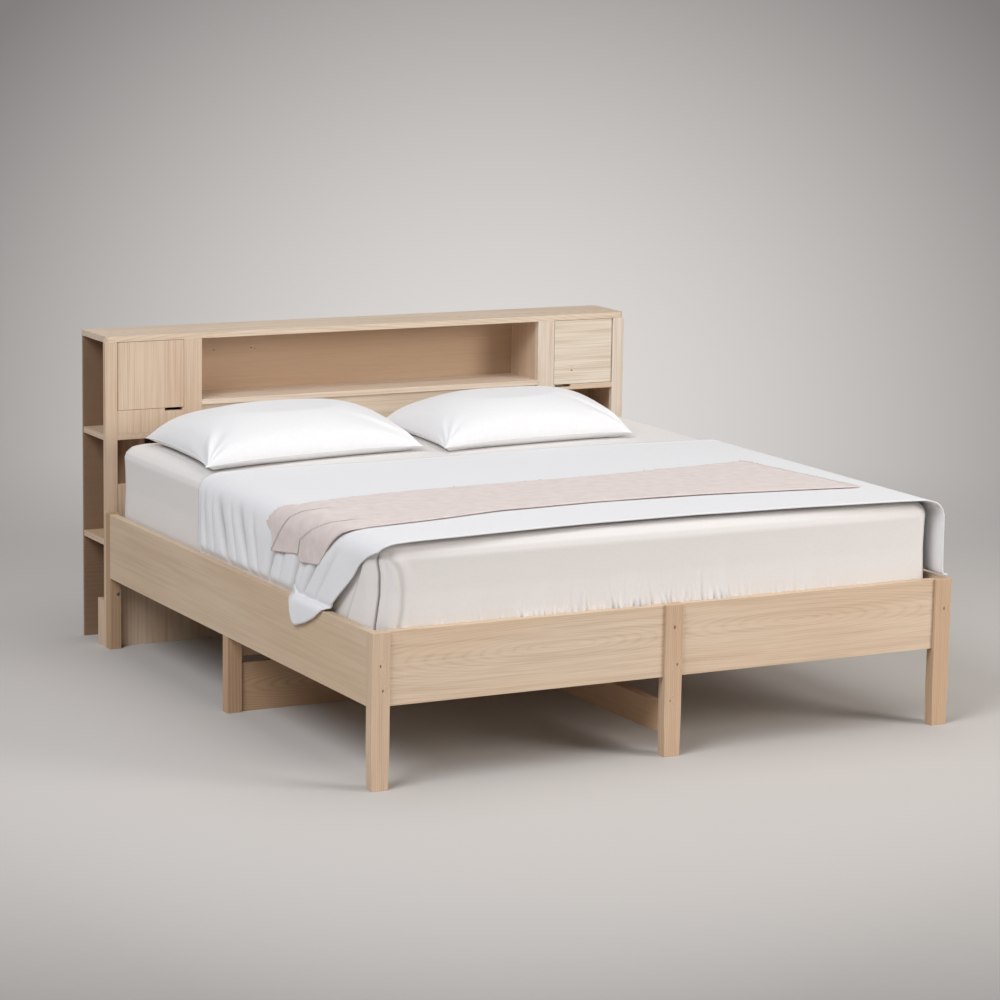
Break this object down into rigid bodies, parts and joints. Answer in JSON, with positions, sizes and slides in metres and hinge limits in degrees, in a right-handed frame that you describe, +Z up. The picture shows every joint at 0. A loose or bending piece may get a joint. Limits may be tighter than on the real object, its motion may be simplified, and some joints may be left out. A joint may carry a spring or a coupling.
{
  "type": "bookcase headboard bed",
  "caption": "Wooden platform bed whose headboard is a bookcase with an open niche, side shelves and two small doors, made up with mattress, cover, throw and pillows.",
  "frame": {"origin": "on the floor, in the middle of the bed's box", "axes": "+Y from the foot to the headboard, +X to the right seen from the foot, +Z up"},
  "size_m": [2.0296, 2.3, 1.065],
  "materials": {
    "pale_wood": "matt, straight and cathedral grain",
    "dowel_wood": "plain",
    "zinc_steel": "zinc plated",
    "brass": "plain",
    "catch_plastic": "moulded",
    "ticking": "woven",
    "white_linen": "soft, lightly creased",
    "blush_knit": "soft, with a ragged edge"
  },
  "bodies": {
    "bed": {"foot_leg_left": "pale_wood", "foot_leg_right": "pale_wood", "foot_leg_centre": "pale_wood", "head_leg_left": "pale_wood", "head_leg_right": "pale_wood", "mid_leg_left": "pale_wood", "mid_leg_right": "pale_wood", "side_rail_left": "pale_wood", "side_rail_right": "pale_wood", "foot_rail_left": "pale_wood", "foot_rail_right": "pale_wood", "head_rail": "pale_wood", "ledger_left": "pale_wood", "ledger_right": "pale_wood", "centre_beam": "pale_wood", "mid_cross_board": "pale_wood", "mid_cross_beam": "pale_wood", "centre_stretcher": "pale_wood", "slats": "pale_wood", "top_board": "pale_wood", "back_panel": "pale_wood", "outer_stile_left": "pale_wood", "outer_stile_right": "pale_wood", "inner_stile_left": "pale_wood", "inner_stile_right": "pale_wood", "partition_left": "pale_wood", "partition_right": "pale_wood", "end_panel_right": "pale_wood", "niche_shelf": "pale_wood", "headrest_panel": "pale_wood", "lower_front_panel": "pale_wood", "apron_left": "pale_wood", "side_shelf_upper": "pale_wood", "side_shelf_lower": "pale_wood", "divider_upper": "pale_wood", "divider_lower": "pale_wood", "foot_block_left": "pale_wood", "compartment_floor_right": "pale_wood", "cubby_floor_right": "pale_wood", "apron_right": "pale_wood", "joint_dowels": "dowel_wood", "corner_brackets": "zinc_steel", "beam_hanger": "zinc_steel", "bracket_screws": "zinc_steel", "ledger_screws": "zinc_steel", "headboard_bolts": "zinc_steel", "door_pivot_pins": "zinc_steel", "door_catches": "catch_plastic", "mattress": "ticking", "fitted_sheet": "white_linen", "bed_cover": "white_linen", "throw": "blush_knit", "pillow_left": "white_linen", "pillow_right": "white_linen"},
    "door_left": {"door_left": "pale_wood", "pivot_bushes_left": "brass", "strike_left": "zinc_steel"},
    "door_right": {"door_right": "pale_wood", "pivot_bushes_right": "brass", "strike_right": "zinc_steel"}
  },
  "joints": [
    {"name": "door_left_hinge", "type": "hinge", "parent": "bed", "child": "door_left", "pos_m": [-0.9485, 0.939, 0.93], "axis": [0, 0, -1], "range_deg": [0, 95]},
    {"name": "door_right_hinge", "type": "hinge", "parent": "bed", "child": "door_right", "pos_m": [0.9485, 0.939, 0.93], "axis": [0, 0, 1], "range_deg": [0, 95]}
  ]
}
